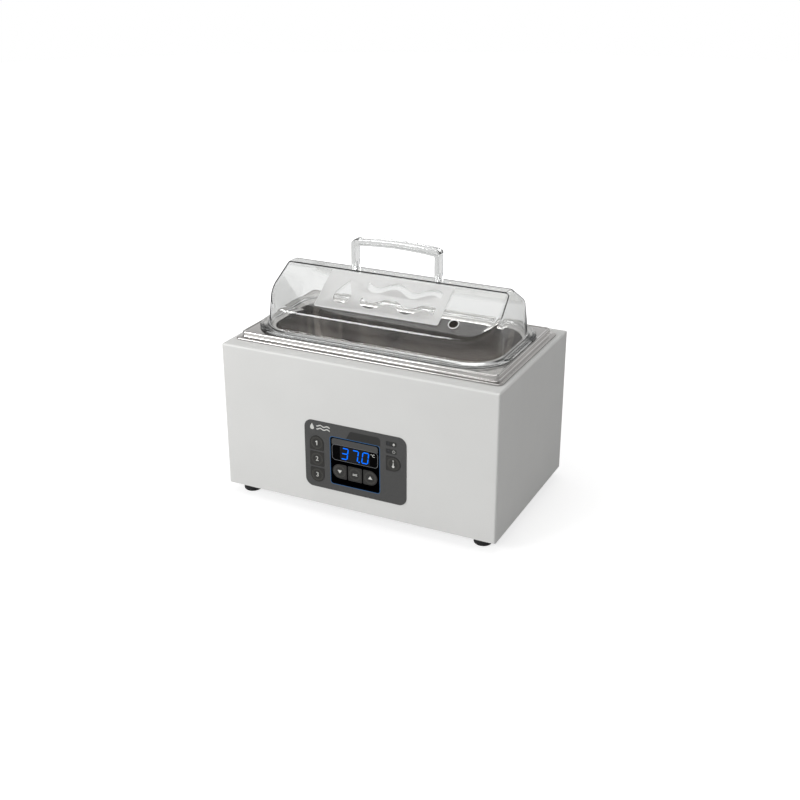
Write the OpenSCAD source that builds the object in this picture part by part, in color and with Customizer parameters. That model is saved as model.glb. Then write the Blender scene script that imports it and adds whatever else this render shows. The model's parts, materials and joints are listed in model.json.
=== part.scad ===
// Unstirred laboratory water bath: a pressed stainless tank in a folded steel case, heated from
// below, with a front control panel, a rear mains inlet and a clear gabled lift-off lid.
// Front is -Y, right is +X, up is +Z. The origin is on the bench under the middle of the case.

/* [Case] */
// Width of the case, left to right
case_w = 338; // [334:1:350]
// Depth of the case, front to back
case_d = 211; // [209:1:220]
// Height of the case without its feet
case_h = 175; // [172:1:190]
// Thickness of the folded steel sheet
sheet_t = 1.2; // [1:0.1:1.4]
// Outside radius of the folded edges
fold_r = 2.5; // [2:0.25:3]
// Exposed height of the rubber feet
foot_h = 12; // [10:1:15]
// Diameter of the rubber feet
foot_d = 21; // [18:1:21]
// Distance from the case's side to a foot's centre
foot_in_x = 21; // [21:0.5:30]
// Distance from the case's front or back to a foot's centre
foot_in_y = 18; // [16:0.5:24]

/* [Tank] */
// Width of the tank's flange on the deck
flange_w = 325; // [323:1:326]
// Depth of the tank's flange on the deck
flange_d = 176; // [174:1:177]
// Width of the strip of flange outside the raised rim
flange_strip = 5.5; // [5:0.25:6.5]
// Height of the rim's top above the deck
rim_rise = 9; // [8:0.5:10]
// Width of the tank's opening
well_w = 278; // [276:1:279]
// Depth, front to back, of the tank's opening
well_d = 125; // [123:1:126]
// Radius of the opening's corners
well_r = 38; // [34:1:40]
// Height from the rim's top to the tank's floor
well_h = 150; // [146:1:151]
// Radius between the tank's walls and floor
floor_r = 12; // [8:1:14]
// Thickness of the tank's sheet
tank_t = 1.2; // [1:0.1:1.2]

/* [Lid] */
// Width of the lid's flange
lid_w = 308; // [304:1:310]
// Depth of the lid's flange
lid_d = 162; // [158:1:164]
// Width of the lid's walls
cover_w = 290; // [288:1:292]
// Depth of the lid's walls
cover_d = 137; // [136:1:138]
// Radius of the cover's corners
cover_r = 38; // [36:1:40]
// Height from the rim to the flat ridge
ridge_h = 65.5; // [60:0.5:70]
// Width of the flat ridge, front to back
ridge_w = 15.6; // [14.6:0.2:17]
// Length of the flat ridge
ridge_len = 276; // [270:1:276]
// Angle of the slopes, in degrees
slope_angle = 33.2; // [32:0.1:34]
// Radius of the bend between the long walls and the slopes
bend_r = 12; // [9:1:14]
// Thickness of the clear plastic
lid_t = 2.5; // [2:0.25:3]
// Diameter of the thermometer hole in the front slope
hole_d = 10; // [8:0.5:11]

/* [Handle] */
// Distance between the handle's two posts, centre to centre
post_pitch = 103; // [90:1:110]
// Width of a post
post_w = 5; // [4.8:0.2:7]
// Depth of the handle, front to back
handle_d = 14; // [11:0.5:15]
// Height of the handle at its ends
handle_h = 34.5; // [32:0.5:40]
// Extra height of the arched bar at its middle
handle_arch = 3.3; // [2:0.1:4]
// Thickness of the bar
bar_t = 7; // [6:0.5:9]

/* [Control panel] */
// Width of the front overlay
panel_w = 126.6; // [126:0.2:130]
// Height of the front overlay
panel_h = 82.2; // [82:0.2:86]
// Height of the overlay's centre above the case's bottom
panel_up = 62; // [60:0.5:64]
// Width and height of a key
key_size = 17.4; // [16.8:0.1:17.6]
// How far a key presses in
key_travel = 0.5; // [0.3:0.05:0.5]
// Clear gap between moving pieces and their neighbours
gap = 0.3; // [0.25:0.05:0.3]

/* [Hidden] */
$fn = 64;
eps = 0.01;
cut = 1;

// Levels, from the bench up
case_top = foot_h + case_h;
plate_z = foot_h + sheet_t;
plate_top = plate_z + sheet_t;
gasket_t = 0.6;
flange_t = 1.4;
rim_z = case_top + rim_rise;
well_z = rim_z - well_h;
lid_z = rim_z + gap;
ridge_z = rim_z + ridge_h;

// Planes, from the front back
front_y = -case_d/2;
back_y = case_d/2;
overlay_t = 0.6;
overlay_y = front_y - overlay_t;
panel_z = foot_h + panel_up;
rear_y = back_y - sheet_t;
rear_in_y = rear_y - sheet_t;

// Case details
return_w = 12;
side_lip = 9;
deck_cut = [288, 135];
deck_cut_r = 34;
stud_x = 150;
stud_y = 50;
stud_r = 2;
stud_hole_r = 2.25;
screw_r = 1.5;
screw_hole_r = 1.6;
screw_head_r = 2.8;
screw_head_t = 1.8;
window = [118, 74];
window_r = 5;
rear_screws = [[-162, 40], [162, 40], [-162, 150], [162, 150], [-80, 181], [80, 181]];
base_screws = [[-164.5, -60], [-164.5, 60], [164.5, -60], [164.5, 60]];
feet = [for (y = [-1, 1], x = [-1, 1]) [x*(case_w/2 - foot_in_x), y*(case_d/2 - foot_in_y)]];

// Control panel layout, as x and height from the panel's centre
column_x = -48;
column_pitch = 19.8;
column_up = -6;
row_pitch = 19.15;
row_up = -15.6;
probe_key = [47.6, 7.8];
display_size = [56.2, 18.1];
display_up = 7.4;
display_r = 3.5;
lights = [[41.4, 31.4], [41.4, 22.4]];
light_size = [3.6, 3.4];
KEYS = [
    ["key_one", [column_x, column_up + column_pitch], 0],
    ["key_two", [column_x, column_up], -1],
    ["key_three", [column_x, column_up - column_pitch], 180],
    ["key_down", [-row_pitch, row_up], 90],
    ["key_set", [0, row_up], -1],
    ["key_up", [row_pitch, row_up], 270],
    ["key_probe", probe_key, 270]
];
key_flange = 0.4;
key_corner = 1.2;
cap_proud = 0.3;
cap_back_y = front_y + gap;
flange_back_y = cap_back_y + 0.6;
pocket_y = flange_back_y + key_travel + 0.6;
bezel_back_y = front_y + sheet_t + 2.6;
stem_r = 1.8;
switch_h = 3.6;
board_y = front_y + 11.8;
board_t = 1.6;
board_size = [112, 72];
board_hole = [52, 32.3];
stem_end_y = board_y - switch_h - key_travel - 0.4;
digit_h = 14.4;
digit_w = 8.6;
digit_pitch = 12.8;
slant = 8;

// Heater, sensors and wiring
mat_z = well_z - tank_t - 2.5;
spread_z = mat_z - 1.5;
probe_r = 2.2;
probe_at = [116, 0, well_z - tank_t - 2.3];
wire_r = 1.1;
thin_wire_r = 0.9;

// Lid details
draft = tan(6);
slope = tan(slope_angle);
end_bend_r = 5;
ridge_ball_r = 5;
ridge_ball_y = ridge_w/2 - ridge_ball_r*tan(slope_angle/2);
handle_screw_r = 1.2;
flange_r = 49;
collar_t = 1.2;
hole_x = 92.5;
hole_in = 51.5;

// Rear inlet and switch layout
inlet_x = 118;
inlet_z = foot_h + 38;
inlet_flange = [31, 46];
inlet_flange_t = 2;
inlet_body = [27.4, 38];
inlet_depth = 22;
socket_up = 8.5;
socket_size = [24, 16.5];
socket_depth = 16;
drawer_up = -11.5;
drawer_size = [24, 8];
drawer_depth = 19;
fuse_r = 2.5;
fuse_len = 20;
rocker_x = 78;
rocker_size = [18, 25];
rocker_tilt = 8;
rocker_pin_r = 1.5;
rocker_y = rear_y - 5.4;
rocker_slack = 0.06;
pin_places = [
    [inlet_x - 7, inlet_z + socket_up - 2], [inlet_x + 7, inlet_z + socket_up - 2],
    [inlet_x, inlet_z + socket_up + 2]
];
fuse_places = [rear_y - 5, rear_y - 12];

// ---- Shared shapes ----

module rounded_rect(size, r) {
    square([size[0] - 2*r, size[1]], center = true);
    square([size[0], size[1] - 2*r], center = true);
    for (x = [-1, 1], y = [-1, 1])
        translate([x*(size[0]/2 - r), y*(size[1]/2 - r)]) circle(r);
}

module plate(size, r, t) {
    linear_extrude(t) rounded_rect(size, r);
}

// An upright outline, w wide and h high, with its two top corners rounded
module arch(w, h, r) {
    translate([-w/2, 0]) square([w, h - r]);
    translate([-w/2 + r, 0]) square([w - 2*r, h]);
    for (x = [-1, 1]) translate([x*(w/2 - r), h - r]) circle(r);
}

// A box with rounded upright and top edges, standing on z = 0
module folded_box(w, d, h, r) {
    intersection() {
        plate([w, d], r, h);
        translate([0, d/2, 0]) rotate([90, 0, 0]) linear_extrude(d) arch(w, h, r);
        translate([-w/2, 0, 0]) rotate([90, 0, 90]) linear_extrude(w) arch(d, h, r);
    }
}

// A deep rounded tub whose walls meet its floor in a radius
module tub(w, d, h, r, edge) {
    hull() for (x = [-1, 1], y = [-1, 1]) translate([x*(w/2 - r), y*(d/2 - r), 0]) {
        translate([0, 0, edge]) cylinder(r = r, h = h - edge, $fn = 48);
        rotate_extrude($fn = 48) {
            square([r - edge, edge]);
            translate([r - edge, edge]) intersection() {
                circle(edge, $fn = 32);
                translate([0, -edge]) square([edge, edge]);
            }
        }
    }
}

// Draws an outline on the front, from depth y out towards the viewer by t
module on_front(y, t) {
    translate([0, y, panel_z]) rotate([90, 0, 0]) linear_extrude(t) children();
}

// Draws an outline on the back, from depth y inwards to y - t
module on_back(x, z, y, t) {
    translate([x, y, z]) rotate([90, 0, 0]) linear_extrude(t) children();
}

module bore_y(x, z, r, y0, y1) {
    translate([x, y1, z]) rotate([90, 0, 0]) cylinder(r = r, h = y1 - y0);
}

// A pan-head screw along +Z, its head below z = 0
module screw_up(r, len, head_r, head_t) {
    cylinder(r = r, h = len);
    difference() {
        translate([0, 0, -head_t]) cylinder(r = head_r, h = head_t);
        for (a = [0, 90]) rotate([0, 0, a]) translate([0, 0, -head_t]) {
            cube([head_r*1.1, 0.7, 1.4], center = true);
        }
    }
}

module lead(points, r) {
    for (i = [0 : len(points) - 2]) hull() {
        translate(points[i]) sphere(r, $fn = 8);
        translate(points[i + 1]) sphere(r, $fn = 8);
    }
}

// ---- Case ----

module outer_case() color("gainsboro") difference() {
    translate([0, 0, foot_h]) folded_box(case_w, case_d, case_h, fold_r);
    translate([0, 0, plate_z])
        folded_box(case_w - 2*sheet_t, case_d - 2*sheet_t, case_h - 2*sheet_t, fold_r - sheet_t);
    translate([-case_w/2 + side_lip, front_y + sheet_t, foot_h - cut])
        cube([case_w - 2*side_lip, case_d - 2*sheet_t, sheet_t + 2*cut]);
    translate([-case_w/2 + return_w, rear_y - cut, foot_h - cut])
        cube([case_w - 2*return_w, sheet_t + 2*cut, case_h - return_w + cut]);
    translate([0, 0, case_top - sheet_t - cut]) plate(deck_cut, deck_cut_r, sheet_t + 2*cut);
    for (x = [-1, 1], y = [-1, 1]) translate([x*stud_x, y*stud_y, case_top - sheet_t - cut])
        cylinder(r = stud_hole_r, h = sheet_t + 2*cut);
    on_front(front_y + sheet_t + cut, sheet_t + 2*cut) rounded_rect(window, window_r);
    for (p = rear_screws) bore_y(p[0], p[1], screw_hole_r, rear_y - cut, back_y + cut);
    for (p = base_screws) translate([p[0], p[1], foot_h - cut])
        cylinder(r = screw_hole_r, h = sheet_t + 2*cut);
}

module rear_panel() {
    panel_gap = 1.6;
    low = plate_top + 0.2;
    high = case_top - sheet_t - panel_gap;
    vent_x = [-120 : 9 : -30];
    color("gainsboro") difference() {
        translate([-case_w/2 + sheet_t + panel_gap, rear_in_y, low])
            cube([case_w - 2*(sheet_t + panel_gap), sheet_t, high - low]);
        for (p = rear_screws) bore_y(p[0], p[1], screw_hole_r, rear_in_y - cut, rear_y + cut);
        on_back(inlet_x, inlet_z, rear_y + cut, sheet_t + 2*cut)
            square([inlet_body[0] + 0.4, inlet_body[1] + 0.4], center = true);
        on_back(rocker_x, inlet_z, rear_y + cut, sheet_t + 2*cut)
            square([22.4, 30.4], center = true);
        for (x = [-1, 1]) bore_y(inlet_x + x*20, inlet_z, screw_hole_r, rear_in_y - cut, rear_y + cut);
        for (x = vent_x, z = [60, 92]) on_back(x, z, rear_y + cut, sheet_t + 2*cut)
            rounded_rect([3.4, 24], 1.6);
    }
}

module base_plate() color("silver") difference() {
    translate([0, 0, plate_z])
        plate([case_w - 2*sheet_t - 0.4, case_d - 2*sheet_t - 0.4], 2, sheet_t);
    for (p = feet) translate([p[0], p[1], plate_z - cut]) cylinder(r = 2.2, h = sheet_t + 2*cut);
    for (p = base_screws) translate([p[0], p[1], plate_z - cut])
        cylinder(r = screw_hole_r, h = sheet_t + 2*cut);
    for (x = [-60 : 12 : 60], y = [-1, 1]) translate([x, y*40, plate_z - cut])
        plate([3.6, 30], 1.7, sheet_t + 2*cut);
}

module case_screws() color("silver") {
    for (p = rear_screws) translate([p[0], back_y, p[1]]) rotate([90, 0, 0])
        screw_up(screw_r, 7, screw_head_r, screw_head_t - 0.9);
    for (p = base_screws) translate([p[0], p[1], foot_h])
        screw_up(screw_r, 7, screw_head_r, screw_head_t);
}

// A rubber foot with a recess under it for its screw's head
module foot(p) {
    lip = 2.5;
    color([0.08, 0.08, 0.08]) translate([p[0], p[1], 0]) difference() {
        rotate_extrude() {
            translate([0, lip]) square([foot_d/2, plate_z - lip]);
            square([foot_d/2 - lip, lip]);
            translate([foot_d/2 - lip, lip]) circle(lip);
        }
        translate([0, 0, -cut]) cylinder(r = 5, h = 5 + cut);
        cylinder(r = 2.2, h = plate_z + cut);
    }
}

module foot_screws() color("silver") for (p = feet) translate([p[0], p[1], 5])
    screw_up(2, plate_top + 1 - 5 + 4, 3.8, 2.6);

// ---- Tank ----

module tank() {
    strip = 2*flange_strip;
    rim_size = [flange_w - strip, flange_d - strip];
    low = case_top + gasket_t;
    color("silver") difference() {
        union() {
            translate([0, 0, low]) plate([flange_w, flange_d], 6, flange_t);
            translate([0, 0, low]) plate(rim_size, 5, rim_z - low);
            translate([0, 0, well_z - tank_t])
                tub(well_w + 2*tank_t, well_d + 2*tank_t, well_h, well_r + tank_t, floor_r);
        }
        difference() {
            translate([0, 0, low - cut])
                plate([rim_size[0] - 2*tank_t, rim_size[1] - 2*tank_t], 4, rim_z - tank_t - low + cut);
            translate([0, 0, well_z - tank_t])
                tub(well_w + 2*tank_t, well_d + 2*tank_t, well_h + 2*cut, well_r + tank_t, floor_r);
        }
        translate([0, 0, well_z]) tub(well_w, well_d, well_h + cut, well_r, floor_r);
    }
}

module tank_gasket() color("dimgray") translate([0, 0, case_top]) difference() {
    plate([flange_w - 3, flange_d - 3], 5, gasket_t);
    translate([0, 0, -cut])
        plate([flange_w - 2*flange_strip - 2*tank_t, flange_d - 2*flange_strip - 2*tank_t], 4, 3);
}

module each_stud() {
    for (x = [-1, 1], y = [-1, 1]) translate([x*stud_x, y*stud_y, 0]) children();
}

module tank_studs() color("silver") each_stud()
    translate([0, 0, case_top - sheet_t - 7])
        cylinder(r = stud_r, h = rim_z - tank_t - case_top + sheet_t + 7);

module tank_nuts() {
    nut_z = case_top - sheet_t - 4.2;
    color("silver") each_stud() difference() {
        union() {
            translate([0, 0, nut_z]) cylinder(d = 7/cos(30), h = 3.2, $fn = 6);
            translate([0, 0, nut_z + 3.2]) cylinder(r = 4.4, h = 1);
        }
        translate([0, 0, nut_z - cut]) cylinder(r = stud_r + 0.02, h = 4.2 + 2*cut);
    }
}

// A lift-out shelf with turned-down ends and rows of holes
module base_tray() {
    tray_w = 246;
    tray_d = 96;
    leg = 12;
    low = well_z + gap;
    color("silver") difference() {
        union() {
            translate([0, 0, low + leg - tank_t]) plate([tray_w, tray_d], 8, tank_t);
            for (x = [-1, 1]) translate([x*(tray_w/2 - 14) - tank_t/2, -tray_d/2 + 10, low])
                cube([tank_t, tray_d - 20, leg]);
        }
        for (x = [-96 : 24 : 96], y = [-30 : 20 : 30]) translate([x, y, low + leg - tank_t - cut])
            cylinder(r = 5, h = tank_t + 2*cut);
    }
}

module insulation_wrap() {
    inner = tank_t + 0.3;
    thick = 7;
    low = well_z + floor_r;
    high = case_top - 14;
    color("khaki") translate([0, 0, low]) difference() {
        plate([well_w + 2*(inner + thick), well_d + 2*(inner + thick)], well_r + thick, high - low);
        translate([0, 0, -cut])
            plate([well_w + 2*inner, well_d + 2*inner], well_r + inner, high - low + 2*cut);
    }
}

module heater_mat() color("orangered") translate([0, 0, mat_z]) plate([204, 92], 6, 2.5);
module heater_plate() color("silver") translate([0, 0, spread_z]) plate([200, 88], 5, 1.5);
module insulation_pad() color("khaki") translate([0, 0, spread_z - 8]) plate([206, 94], 6, 8);

module temperature_probe() color("silver") translate(probe_at) rotate([90, 0, 0])
    cylinder(r = probe_r, h = 40, center = true);

module probe_clip() {
    w = 11;
    t = 0.8;
    color("silver") translate(probe_at) difference() {
        translate([-w/2, -10, -probe_r - t]) cube([w, 20, 2.3 + probe_r + t]);
        translate([-w/2 + t, -11, -probe_r]) cube([w - 2*t, 22, 2.3 + probe_r + 1]);
    }
}

module overheat_cutout() color([0.15, 0.15, 0.15]) translate([-116, 0, well_z - tank_t]) {
    translate([0, 0, -4]) cylinder(r = 8, h = 4);
    translate([0, 0, -11]) cylinder(r = 7, h = 7.5);
    for (y = [-1, 1]) translate([-3, y*4.5 - 0.4, -18]) cube([6, 0.8, 8]);
}

module earth_stud() color("goldenrod") translate([-140, 60, plate_top]) {
    cylinder(r = 2, h = 16);
    cylinder(r = 4.4, h = 1);
    translate([0, 0, 6]) cylinder(d = 7/cos(30), h = 3.2, $fn = 6);
}

// ---- Control panel ----

// Outline of a key: round on one side, towards turn degrees from up, or square where turn is -1
module key_outline(turn, grow) {
    size = key_size + 2*grow;
    if (turn < 0) {
        rounded_rect([size, size], key_corner + grow);
    } else {
        rotate([0, 0, turn]) {
            circle(size/2);
            intersection() {
                rounded_rect([size, size], key_corner + grow);
                translate([-size/2, -size/2]) square([size, size/2]);
            }
        }
    }
}

module each_key(grow) {
    for (k = KEYS) translate(k[1]) key_outline(k[2], grow);
}

module display_outline(grow) {
    translate([0, display_up])
        rounded_rect([display_size[0] + 2*grow, display_size[1] + 2*grow], display_r + grow);
}

module control_overlay() color([0.3, 0.3, 0.3]) on_front(front_y, overlay_t) difference() {
    rounded_rect([panel_w, panel_h], 9.5);
    each_key(gap);
    display_outline(0.05);
    for (p = lights) translate(p) square([light_size[0] + 0.1, light_size[1] + 0.1], center = true);
}

// Moulded plate that fills the case's window, guides the keys and carries the board
module key_bezel() color([0.12, 0.12, 0.12]) difference() {
    union() {
        on_front(front_y + sheet_t, sheet_t)
            rounded_rect([window[0] - 0.4, window[1] - 0.4], window_r - 0.2);
        on_front(bezel_back_y, bezel_back_y - front_y - sheet_t)
            rounded_rect([window[0] + 6, window[1] + 6], 6);
    }
    on_front(pocket_y, pocket_y - front_y + cut) each_key(key_flange + gap);
    for (k = KEYS) bore_y(k[1][0], panel_z + k[1][1], stem_r + gap, front_y, bezel_back_y + cut);
    on_front(bezel_back_y + cut, bezel_back_y - front_y + 2*cut) display_outline(0.05);
    for (p = lights) on_front(bezel_back_y + cut, bezel_back_y - front_y + 2*cut)
        translate(p) square([light_size[0] + 0.1, light_size[1] + 0.1], center = true);
}

module display_window() color([0.02, 0.02, 0.03])
    on_front(front_y + 0.9, 0.9 + overlay_t) display_outline(0);

module led_display() color([0.1, 0.1, 0.1]) on_front(board_y - 0.1, board_y - front_y - 1.4)
    translate([0, display_up]) square([37.4, 17], center = true);

// One bar of a seven-segment digit, from a to b, leaning with the digit
module segment(a, b) {
    half = 0.75;
    along = (b - a)/norm(b - a);
    across = [-along[1], along[0]];
    tips = [
        a + 0.35*along, a + (half + 0.35)*along + half*across, b - (half + 0.35)*along + half*across,
        b - 0.35*along, b - (half + 0.35)*along - half*across, a + (half + 0.35)*along - half*across
    ];
    polygon([for (p = tips) [p[0] + p[1]*tan(slant), p[1]]]);
}

module digit(lit) {
    w = digit_w/2 - 0.8;
    h = digit_h/2 - 0.8;
    ends = [
        [[-w, h], [w, h]], [[w, h], [w, 0]], [[w, 0], [w, -h]], [[-w, -h], [w, -h]],
        [[-w, 0], [-w, -h]], [[-w, h], [-w, 0]], [[-w, 0], [w, 0]]
    ];
    for (i = lit) segment(ends[i][0], ends[i][1]);
}

module lit_segments() color([0, 0.45, 1]) on_front(front_y + 1.3, 0.2) translate([0.3, display_up]) {
    translate([-digit_pitch, 0]) digit([0, 1, 2, 3, 6]);
    digit([0, 1, 2]);
    translate([digit_pitch, 0]) digit([0, 1, 2, 3, 4, 5]);
    translate([digit_pitch/2 - 1.3, -digit_h/2 + 0.8]) circle(0.9);
}

module status_lights() color([0.05, 0.06, 0.07]) for (p = lights)
    on_front(board_y - 0.1, board_y - overlay_y - 0.2) translate(p) square(light_size, center = true);

module control_board() color("darkgreen") difference() {
    on_front(board_y + board_t, board_t) square(board_size, center = true);
    for (x = [-1, 1], z = [-1, 1])
        bore_y(x*board_hole[0], panel_z + z*board_hole[1], 1.6, board_y - cut, board_y + board_t + cut);
}

module board_spacers() color("ivory") for (x = [-1, 1], z = [-1, 1]) {
    bore_y(x*board_hole[0], panel_z + z*board_hole[1], 2.8, bezel_back_y, board_y);
    bore_y(x*board_hole[0], panel_z + z*board_hole[1], 1.5, board_y - eps, board_y + board_t + 2);
}

module board_parts() color([0.13, 0.13, 0.13]) {
    rear = board_y + board_t;
    translate([-14, rear, panel_z - 10]) cube([14, 2.4, 14]);
    translate([20, rear, panel_z + 12]) cube([24, 7, 8]);
    translate([-44, rear, panel_z + 10]) cube([18, 6, 7]);
    bore_y(28, panel_z - 14, 6, rear, rear + 8);
    for (x = [-40, -32, -24]) bore_y(x, panel_z - 14, 3, rear, rear + 9);
}

module key_switches() color([0.2, 0.2, 0.2]) for (k = KEYS)
    on_front(board_y, switch_h) translate(k[1]) square([6, 6], center = true);

// A key cap with the thin flange that keeps it in and the stem that works its switch
module key(i) {
    k = KEYS[i];
    color([0.23, 0.23, 0.22]) {
        on_front(cap_back_y, cap_back_y - overlay_y + cap_proud) translate(k[1]) key_outline(k[2], 0);
        on_front(flange_back_y, flange_back_y - cap_back_y) translate(k[1]) key_outline(k[2], key_flange);
        bore_y(k[1][0], panel_z + k[1][1], stem_r, flange_back_y - eps, stem_end_y);
    }
}

// ---- Power parts inside the case ----

module transformer() color([0.16, 0.16, 0.17]) {
    translate([-138, -99, plate_top]) cube([48, 26, 34]);
    translate([-146, -94, plate_top]) cube([64, 16, 2]);
}

module heat_sink() color([0.62, 0.63, 0.65]) {
    translate([84, -98, plate_top]) cube([50, 20, 3]);
    translate([84, -81, plate_top]) cube([50, 3, 44]);
    for (x = [84 : 7 : 127]) translate([x, -88, plate_top + 3]) cube([2, 8, 41]);
}

module triac() color([0.12, 0.12, 0.12]) {
    translate([104, -78, plate_top + 14]) cube([10, 4.5, 15]);
    for (x = [106, 109, 112]) translate([x - 0.4, -76, plate_top + 5]) cube([0.8, 0.8, 9.5]);
}

module terminal_block() color("ivory") {
    translate([20, 76, plate_top]) difference() {
        cube([40, 16, 14]);
        for (x = [5 : 10 : 35]) translate([x, 8, 6]) cylinder(r = 2.4, h = 9);
    }
}

// ---- Mains inlet, fuses and switch ----

// The socket's outline: a rectangle with its two upper corners cut off
module socket_outline() {
    w = socket_size[0]/2;
    h = socket_size[1]/2;
    corner = 5;
    polygon([[-w, -h], [w, -h], [w, h - corner], [w - corner, h], [-w + corner, h], [-w, h - corner]]);
}

module mains_inlet() color([0.07, 0.07, 0.07]) difference() {
    face = rear_y + inlet_flange_t;
    union() {
        on_back(inlet_x, inlet_z, face, inlet_flange_t) rounded_rect(inlet_flange, 3);
        for (x = [-1, 1]) on_back(inlet_x + x*20, inlet_z, face, inlet_flange_t) circle(4.6);
        on_back(inlet_x, inlet_z, face, inlet_flange_t) square([40, 9.2], center = true);
        on_back(inlet_x, inlet_z, rear_y + eps, inlet_depth) square(inlet_body, center = true);
    }
    on_back(inlet_x, inlet_z + socket_up, face + cut, socket_depth + cut) socket_outline();
    on_back(inlet_x, inlet_z + drawer_up, face + cut, drawer_depth + gap + cut)
        square([drawer_size[0] + 2*gap, drawer_size[1] + 2*gap], center = true);
    for (x = [-1, 1])
        bore_y(inlet_x + x*20, inlet_z, screw_hole_r, rear_y - cut, face + cut);
    for (p = pin_places) on_back(p[0], p[1], rear_y, inlet_depth + 1) square([2.02, 4.02], center = true);
}

module inlet_pins() color("silver") for (p = pin_places)
    on_back(p[0], p[1], rear_y - 1, inlet_depth + 7) square([2, 4], center = true);

// A drawer with two troughs across it, one for each fuse
module fuse_drawer() color([0.1, 0.1, 0.1]) difference() {
    face = rear_y + inlet_flange_t;
    union() {
        on_back(inlet_x, inlet_z + drawer_up, face, drawer_depth) square(drawer_size, center = true);
        on_back(inlet_x, inlet_z + drawer_up, face + 1, 1 + eps) rounded_rect([10, 3], 1);
    }
    for (y = fuse_places) translate([inlet_x - fuse_len/2 - 0.2, y, inlet_z + drawer_up + 1]) {
        rotate([0, 90, 0]) cylinder(r = fuse_r + 0.1, h = fuse_len + 0.4);
        translate([0, -fuse_r - 0.1, 0]) cube([fuse_len + 0.4, 2*fuse_r + 0.2, drawer_size[1]]);
    }
}

module fuses() color("lightgray") for (y = fuse_places)
    translate([inlet_x - fuse_len/2, y, inlet_z + drawer_up + 1]) rotate([0, 90, 0])
        cylinder(r = fuse_r, h = fuse_len);

module switch_housing() color([0.07, 0.07, 0.07]) difference() {
    face = rear_y + inlet_flange_t;
    well = [rocker_size[0] + 2*gap, rocker_size[1] + 3];
    union() {
        on_back(rocker_x, inlet_z, face, inlet_flange_t) rounded_rect([26, 34], 2);
        on_back(rocker_x, inlet_z, rear_y + eps, 18) square([22, 30], center = true);
        for (z = [-1, 0, 1])
            on_back(rocker_x, inlet_z + z*9, rear_y - 17, 9) square([6.3, 0.8], center = true);
    }
    on_back(rocker_x, inlet_z, face + cut, face - rocker_y + 6.4 + cut) square(well, center = true);
    translate([rocker_x - rocker_size[0]/2 - 1.5, rocker_y, inlet_z]) rotate([0, 90, 0])
        cylinder(r = rocker_pin_r + rocker_slack, h = rocker_size[0] + 3);
}

// A rocker with a shallow V face, tilted to its on side, on two short pivot pins
module switch_rocker() {
    w = rocker_size[0];
    half = rocker_size[1]/2;
    color([0.05, 0.25, 0.1]) translate([rocker_x, rocker_y, inlet_z]) rotate([rocker_tilt, 0, 0]) {
        translate([-w/2, 0, 0]) rotate([90, 0, 90]) linear_extrude(w) {
            circle(5);
            polygon([[1.5, -half], [7, -half], [5.6, 0], [7, half], [1.5, half]]);
        }
        translate([-w/2 - 1.2, 0, 0]) rotate([0, 90, 0]) cylinder(r = rocker_pin_r, h = w + 2.4);
    }
}

module inlet_screws() color("silver") for (x = [-1, 1])
    translate([inlet_x + x*20, rear_y + inlet_flange_t, inlet_z]) rotate([90, 0, 0])
        screw_up(screw_r, 9, screw_head_r, 1.4);

// ---- Internal wiring ----

module mains_leads() color("saddlebrown") {
    lead([[111, 73, inlet_z + 6], [111, 76, plate_top + 12], [64, 84, plate_top + 10]], wire_r);
    lead([[125, 73, inlet_z + 6], [128, 78, plate_top + 5], [64, 88, plate_top + 6]], wire_r);
    lead([[18, 84, plate_top + 4], [-60, 80, plate_top + 4], [-150, 60, plate_top + 20],
        [-152, -60, plate_top + 14], [-142, -84, plate_top + 14]], wire_r);
}

module heater_leads() color("firebrick") for (y = [-13, 13]) {
    low = plate_top + 18;
    lead([[104, y, mat_z + 1], [124, y - 16, mat_z - 14], [132, -66, low], [116, -70, low - 8]],
        wire_r);
}

module sensor_leads() color("white") {
    probe_run = [[116, -22, probe_at[2]], [116, -60, mat_z - 8], [70, -80, 66], [42, -82, panel_z + 16]];
    cut_z = mat_z - 10;
    cutout_run = [[-116, -8, cut_z], [-110, -60, cut_z], [-60, -78, 62], [-30, -83, panel_z + 12]];
    lead(probe_run, thin_wire_r);
    lead(cutout_run, thin_wire_r);
}

module board_leads() color("slategray") for (z = [0, 3])
    lead([[-88, -84, plate_top + 22 + z], [-70, -82, 60 + z], [-46, -83, panel_z + 11 + z]], thin_wire_r);

module earth_lead() color("limegreen")
    lead([[118, 73, inlet_z + 10.5], [98, 75, inlet_z + 10], [70, 73.5, plate_top + 20],
        [-20, 72, plate_top + 4], [-132, 60, plate_top + 4]], wire_r);

// ---- Lid ----

// How far round a corner, from the end (0) to the front or back (90), the bend has its balls
corner_turns = [0 : 15 : 90];

// Radius of the bend between wall and slope, at turn degrees round a corner
function bend_at(turn) = end_bend_r + (bend_r - end_bend_r)*pow(sin(turn), 2);

// A ball's centre in that bend, tangent to the drafted wall and to the slope, from the corner's axis
function bend_centre(turn) =
    let (
        r = bend_at(turn),
        above = ridge_h - gap - slope*(cover_d/2 - cover_r - ridge_w/2) - r/cos(slope_angle),
        out = (cover_r - r - draft*above)/(1 - draft*slope*sin(turn))
    )
    [out*cos(turn), out*sin(turn), above - slope*out*sin(turn)];

// The gabled cover's solid form, shrunk all round by inset
module cover_form(inset) {
    ball = ridge_ball_r - inset;
    hull() for (x = [-1, 1], y = [-1, 1]) {
        translate([x*(cover_w/2 - cover_r), y*(cover_d/2 - cover_r), lid_z]) {
            cylinder(r = cover_r - inset, h = 0.5);
            for (turn = corner_turns) {
                at = bend_centre(turn);
                translate([x*at[0], y*at[1], at[2]]) sphere(bend_at(turn) - inset, $fn = 32);
            }
        }
        translate([x*(ridge_len/2 - ridge_ball_r), y*ridge_ball_y, ridge_z - ridge_ball_r])
            rotate([0, 90, 0]) sphere(ball, $fn = 24);
    }
}

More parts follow.
